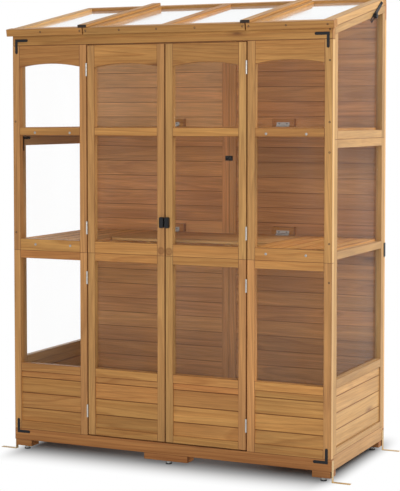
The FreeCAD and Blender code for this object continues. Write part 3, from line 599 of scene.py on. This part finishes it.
def dress_timber(node):
    """Boards with rounded or grooved edges in painted shade, each with grain and a tone of its own, in place
    of a timber node.
    """
    chance = random.Random(node)
    points, solids = solids_of(node)
    lowest = min(point.z for point in points)
    dress = Dress()
    for faces in solids:
        solid = solid_mesh(points, faces)
        axes = board_axes(solid)
        along = axes[0]
        middle = sum((vert.co for vert in solid.verts), Vector()) / len(solid.verts)
        grain = grain_of(middle, axes, chance)
        outer = board_look(node, middle, along, chance)
        inner = inner_painted_look(middle, *outer) if node == "back_boards" else outer
        edge_faces, shade = round_or_groove(solid, node, along, lowest)
        solid.normal_update()

        def board_of(face):
            return inner if face.normal.y < INWARD else outer

        def edge_of(face):
            if face in edge_faces:
                return shade
            # The outer side faces of the corner stiles get a painted highlight
            sideways = node in CORNER_FRAMES and abs(face.normal.x) > SIDEWAYS
            if sideways and abs(face.calc_center_median().x) > CORNER_X:
                return CORNER_PAINTED_HIGHLIGHT
            return END_SHADE if abs(face.normal.dot(along)) > CUT_END else 0.0

        dress.add(solid, grain, board_of, edge_of)
    made = dress.piece(node + "_timber", materials["shelf_fir" if node.endswith("_shelf") else "fir"])
    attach(made, body_of[node])
    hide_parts(node)


def dress_fitting(node):
    """Metal or plastic with small rounds, in place of its node."""
    points, solids = solids_of(node)
    dress = Dress()
    for faces in solids:
        solid = solid_mesh(points, faces)
        rounded(solid, sharp_edges(solid), METAL_ROUND, ROUND_STEPS)
        dress.add(solid)
    look = "lid_cap_steel" if node.endswith("_lid_fittings") else slot_of[node]
    made = dress.piece(node + "_metal", materials[look])
    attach(made, body_of[node])
    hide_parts(node)


for node_name, slot_name in slot_of.items():
    if slot_name == "fir":
        dress_timber(node_name)
    elif slot_name == "clear_pane":
        nodes[node_name].data.materials.clear()
        nodes[node_name].data.materials.append(materials["clear_pane"])
    elif node_name != "shelf_bolts":
        dress_fitting(node_name)


# Screws and bolts: shallow heads with a recess

SCREW_SIDES = 24
SCREW_SINK = 0.4 * MM
SCREW_ARMS = 4
BOLT_ARMS = 6

# Material, radius, height over the surface and depth of the recess
WOOD_SCREW = (materials["screw_steel"], 4.2 * MM, 0.3 * MM, 1.2 * MM)
PLATE_SCREW = (materials["black_steel"], 3.4 * MM, 0.6 * MM, 1.3 * MM)
LEAF_SCREW = (materials["leaf_screw_steel"], 3.3 * MM, 0.3 * MM, 0.9 * MM)
SHELF_BOLT = (materials["zinc_steel"], 5.5 * MM, 2.6 * MM, 2.0 * MM)

# Share of the roof's thickness at which its front edge is screwed, and of a leaf's length from its middle
FASCIA_SHARE = 0.55
LEAF_SHARE = 0.3

# Front brackets in millimetres: corner heights with the way to the upright arm, and screws from the corner
BRACKET_X = 706
BRACKET_CORNERS = ((1762, -1), (81, 1))
BRACKET_HOLES = ((0, 24), (0, 50), (24, 0), (50, 0))
BRACKET_THICK = 2 * MM


def screw_head(radius, proud, depth, arms):
    """Shallow domed head around Z with a recess of so many arms."""
    top = 1.15 * proud
    # Share of the radius, height, and how far the recess draws in between its arms
    rings = ((1.0, -SCREW_SINK, 0.0), (1.0, 0.4 * proud, 0.0), (0.86, proud, 0.0), (0.60, top, 0.34),
             (0.52, top - 0.35 * depth, 0.38), (0.34, top - depth, 0.42))
    head = bmesh.new()
    loops = []
    for share, height, lobes in rings:
        loop = []
        for step in range(SCREW_SIDES):
            angle = math.tau * step / SCREW_SIDES
            reach = radius * share * (1 - lobes * (0.5 - 0.5 * math.cos(arms * angle)))
            loop.append(head.verts.new((reach * math.cos(angle), reach * math.sin(angle), height)))
        loops.append(loop)
    for lower, upper in zip(loops, loops[1:]):
        for step in range(SCREW_SIDES):
            after = (step + 1) % SCREW_SIDES
            head.faces.new((lower[step], lower[after], upper[after], upper[step]))
    head.faces.new(loops[-1])
    head.faces.new(loops[0][::-1])
    return head


def screws(name, body, slot, material, radius, proud, depth, places, arms=SCREW_ARMS):
    """One piece of like screws: places are pairs of a point on the surface and its outward normal."""
    dress = Dress()
    for spot, normal in places:
        head = screw_head(radius, proud, depth, arms)
        turn = normal.to_track_quat("Z", "Y").to_matrix().to_4x4()
        head.transform(Matrix.Translation(spot) @ turn)
        dress.add(head)
    made = dress.piece(name, material)
    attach(made, body)
    return made


def leaf_places(node):
    """Two screw places on the plate of each hinge leaf, on the face towards the knuckles."""
    places = []
    points, solids = solids_of(node)
    for faces in solids:
        solid = solid_mesh(points, faces)
        middle = box_middle([vert.co for vert in solid.verts])
        flats = sorted(solid.faces, key=lambda face: -face.calc_area())[:2]
        plate = min(flats, key=lambda face: abs((face.calc_center_median() - middle).dot(face.normal)))
        step = longest_line(plate.edges) * LEAF_SHARE
        centre = plate.calc_center_bounds()
        places += [(centre + step, plate.normal.copy()), (centre - step, plate.normal.copy())]
        solid.free()
    return places


def fascia_places(*places):
    """Points on the front edge of the roof, from their places along it in millimetres."""
    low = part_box("centre_roof_frame")[0]
    front = Vector((0, -math.cos(ROOF_SLOPE), -math.sin(ROOF_SLOPE)))
    up = Vector((0, -math.sin(ROOF_SLOPE), math.cos(ROOF_SLOPE)))
    corner = Vector((0, low.y + ROOF_THICK * math.sin(ROOF_SLOPE), low.z))
    return [(corner + Vector((x * MM, 0, 0)) + up * ROOF_THICK * FASCIA_SHARE, front) for x in places]


def front_places(*places):
    """Points on the front of the frames, from pairs of width and height in millimetres."""
    return [(Vector((x * MM, FRONT_Y, z * MM)), FORWARD) for x, z in places]


screws("centre_fascia_screws", "cabinet", "black_steel", *WOOD_SCREW,
       fascia_places(-354, -197, -25, 147, 355))
screws("left_fascia_screws", "left_lid", "black_steel", *WOOD_SCREW, fascia_places(-572, -382))
screws("right_fascia_screws", "right_lid", "black_steel", *WOOD_SCREW, fascia_places(382, 540, 713))
screws("post_screws", "cabinet", "black_steel", *WOOD_SCREW,
       front_places((713, 1778), (713, 1658), (713, 1418), (713, 1300), (713, 943), (713, 791),
                    (-713, 1418), (-713, 943)))

bracket_places = []
for side in (-1, 1):
    for corner_z, rise in BRACKET_CORNERS:
        for run, climb in BRACKET_HOLES:
            bracket_places += front_places((side * (BRACKET_X - run), corner_z + rise * climb))
bracket_places = [(spot + FORWARD * BRACKET_THICK, normal) for spot, normal in bracket_places]
screws("bracket_screws", "cabinet", "black_steel", *PLATE_SCREW, bracket_places)

for node_name in slot_of:
    if node_name.endswith("_leaves"):
        screws(node_name + "_screws", body_of[node_name], "zinc_steel", *LEAF_SCREW, leaf_places(node_name))

bolt_points, bolt_solids = solids_of("shelf_bolts")
bolt_places = []
for bolt_faces in bolt_solids:
    bolt_middle = box_middle([bolt_points[corner] for face in bolt_faces for corner in face])
    bolt_places.append((Vector((bolt_middle.x, FRONT_Y, bolt_middle.z)), FORWARD))
bolts = screws("shelf_bolt_heads", "cabinet", "zinc_steel", *SHELF_BOLT, bolt_places, BOLT_ARMS)
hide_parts("shelf_bolts")


# Floor, light and camera

# The floor's painted shadow, and the part where its real shadow shows, lie round a box under the cabinet: its
# middle, half its size, and how fast the shadow ends
FLOOR_REACH = 40.0
SHADE_MIDDLE = (0.0, 0.05, 0.0)
SHADE_HALF = (0.66, 0.23, 0.0)
SHADE_END = (3.2, 1.0, 0.0)
# Over the first range the camera's white gives way to the lit floor with its real shadow; over the second the
# floor's colour is a painted shadow near the cabinet that fades to pale
WHITE_RANGE = (0.0, 0.38)
PAINTED_SHADOW_RANGE = (0.12, 0.6)
PAINTED_SHADOW_FLOOR = (0.16, 0.16, 0.16, 1)
PALE_FLOOR = (0.9, 0.9, 0.9, 1)

# Name, place, aim, width in metres and power in watts
LIGHTS = (("key", (5.0, 0.9, 4.6), (0.3, 0.0, 0.9), 3.5, 320),
          ("front_fill", (1.6, -7.0, 2.2), (0.0, 0.0, 1.0), 4.0, 155))
SOFT_LIGHT = 0.38

# Camera, with its turns in degrees
CAMERA_PLACE = (2.688, FRONT_Y - 5.44, 1.439)
CAMERA_DOWN = 3.04
CAMERA_TURN = 24.94
CAMERA_LENS = 108.82
CAMERA_SENSOR = 36.0
CAMERA_SHIFT = -0.1018
CAMERA_FAR = 200.0


def make_floor():
    """Pale floor with a painted shadow near the object, darker in colour there beside its real shadow, that
    fades to white far away.
    """
    mesh = bpy.data.meshes.new("floor")
    corners = [(x * FLOOR_REACH, y * FLOOR_REACH, 0) for x, y in ((-1, -1), (1, -1), (1, 1), (-1, 1))]
    mesh.from_pydata(corners, [], [(0, 1, 2, 3)])
    floor = place_in_scene("floor", mesh)
    s = Shader("floor", 0.1)
    outside = s.vector("ABSOLUTE", s.vector("SUBTRACT", s.coords(), SHADE_MIDDLE))
    outside = s.vector("MAXIMUM", s.vector("SUBTRACT", outside, SHADE_HALF))
    far = s.vector("LENGTH", s.scaled(outside, SHADE_END))
    fade = s.span(far, WHITE_RANGE, interpolation_type="SMOOTHSTEP")
    # Painted shadow: the floor's own colour is darker near the cabinet
    pale = s.span(far, PAINTED_SHADOW_RANGE, interpolation_type="SMOOTHSTEP")
    s.set(Base_Color=s.mix(pale, PAINTED_SHADOW_FLOOR, PALE_FLOOR), Roughness=0.9)
    white = s.node("ShaderNodeEmission", {"Color": WHITE, "Strength": 1.0})
    blend = s.node("ShaderNodeMixShader", {0: s.math("MULTIPLY", fade, s.seen()), 1: s.bsdf.outputs[0],
                                           2: white.outputs[0]})
    s.tree.links.new(blend.outputs[0], s.out.inputs["Surface"])
    mesh.materials.append(s.material)


def make_world():
    """White to the camera and in mirrors, and a soft even light on everything."""
    world = bpy.data.worlds.new("studio")
    world.use_nodes = True
    w = Nodes(world.node_tree)
    soft = w.node("ShaderNodeBackground", {"Color": WHITE, "Strength": SOFT_LIGHT})
    white = w.node("ShaderNodeBackground", {"Color": WHITE, "Strength": 1.0})
    blend = w.node("ShaderNodeMixShader", {0: w.seen(), 1: soft.outputs[0], 2: white.outputs[0]})
    w.node("ShaderNodeOutputWorld", {"Surface": blend.outputs[0]})
    bpy.context.scene.world = world


def make_light(name, place, aim, size, power):
    """Round area light at a place, turned to its aim."""
    lamp = bpy.data.lights.new(name, "AREA")
    lamp.shape = "DISK"
    lamp.size = size
    lamp.energy = power
    made = place_in_scene(name, lamp)
    made.location = place
    made.rotation_euler = (Vector(aim) - Vector(place)).to_track_quat("-Z", "Y").to_euler()


def make_camera():
    """Camera from the front right at the place and angle fitted to the photograph."""
    data = bpy.data.cameras.new("camera")
    data.sensor_width = CAMERA_SENSOR
    data.lens = CAMERA_LENS
    data.shift_y = CAMERA_SHIFT
    data.clip_end = CAMERA_FAR
    camera = place_in_scene("camera", data)
    camera.location = CAMERA_PLACE
    camera.rotation_euler = (math.radians(90 - CAMERA_DOWN), 0, math.radians(CAMERA_TURN))
    bpy.context.scene.camera = camera


make_floor()
make_world()
for light in LIGHTS:
    make_light(*light)
make_camera()

bpy.context.scene.view_settings.view_transform = "Standard"
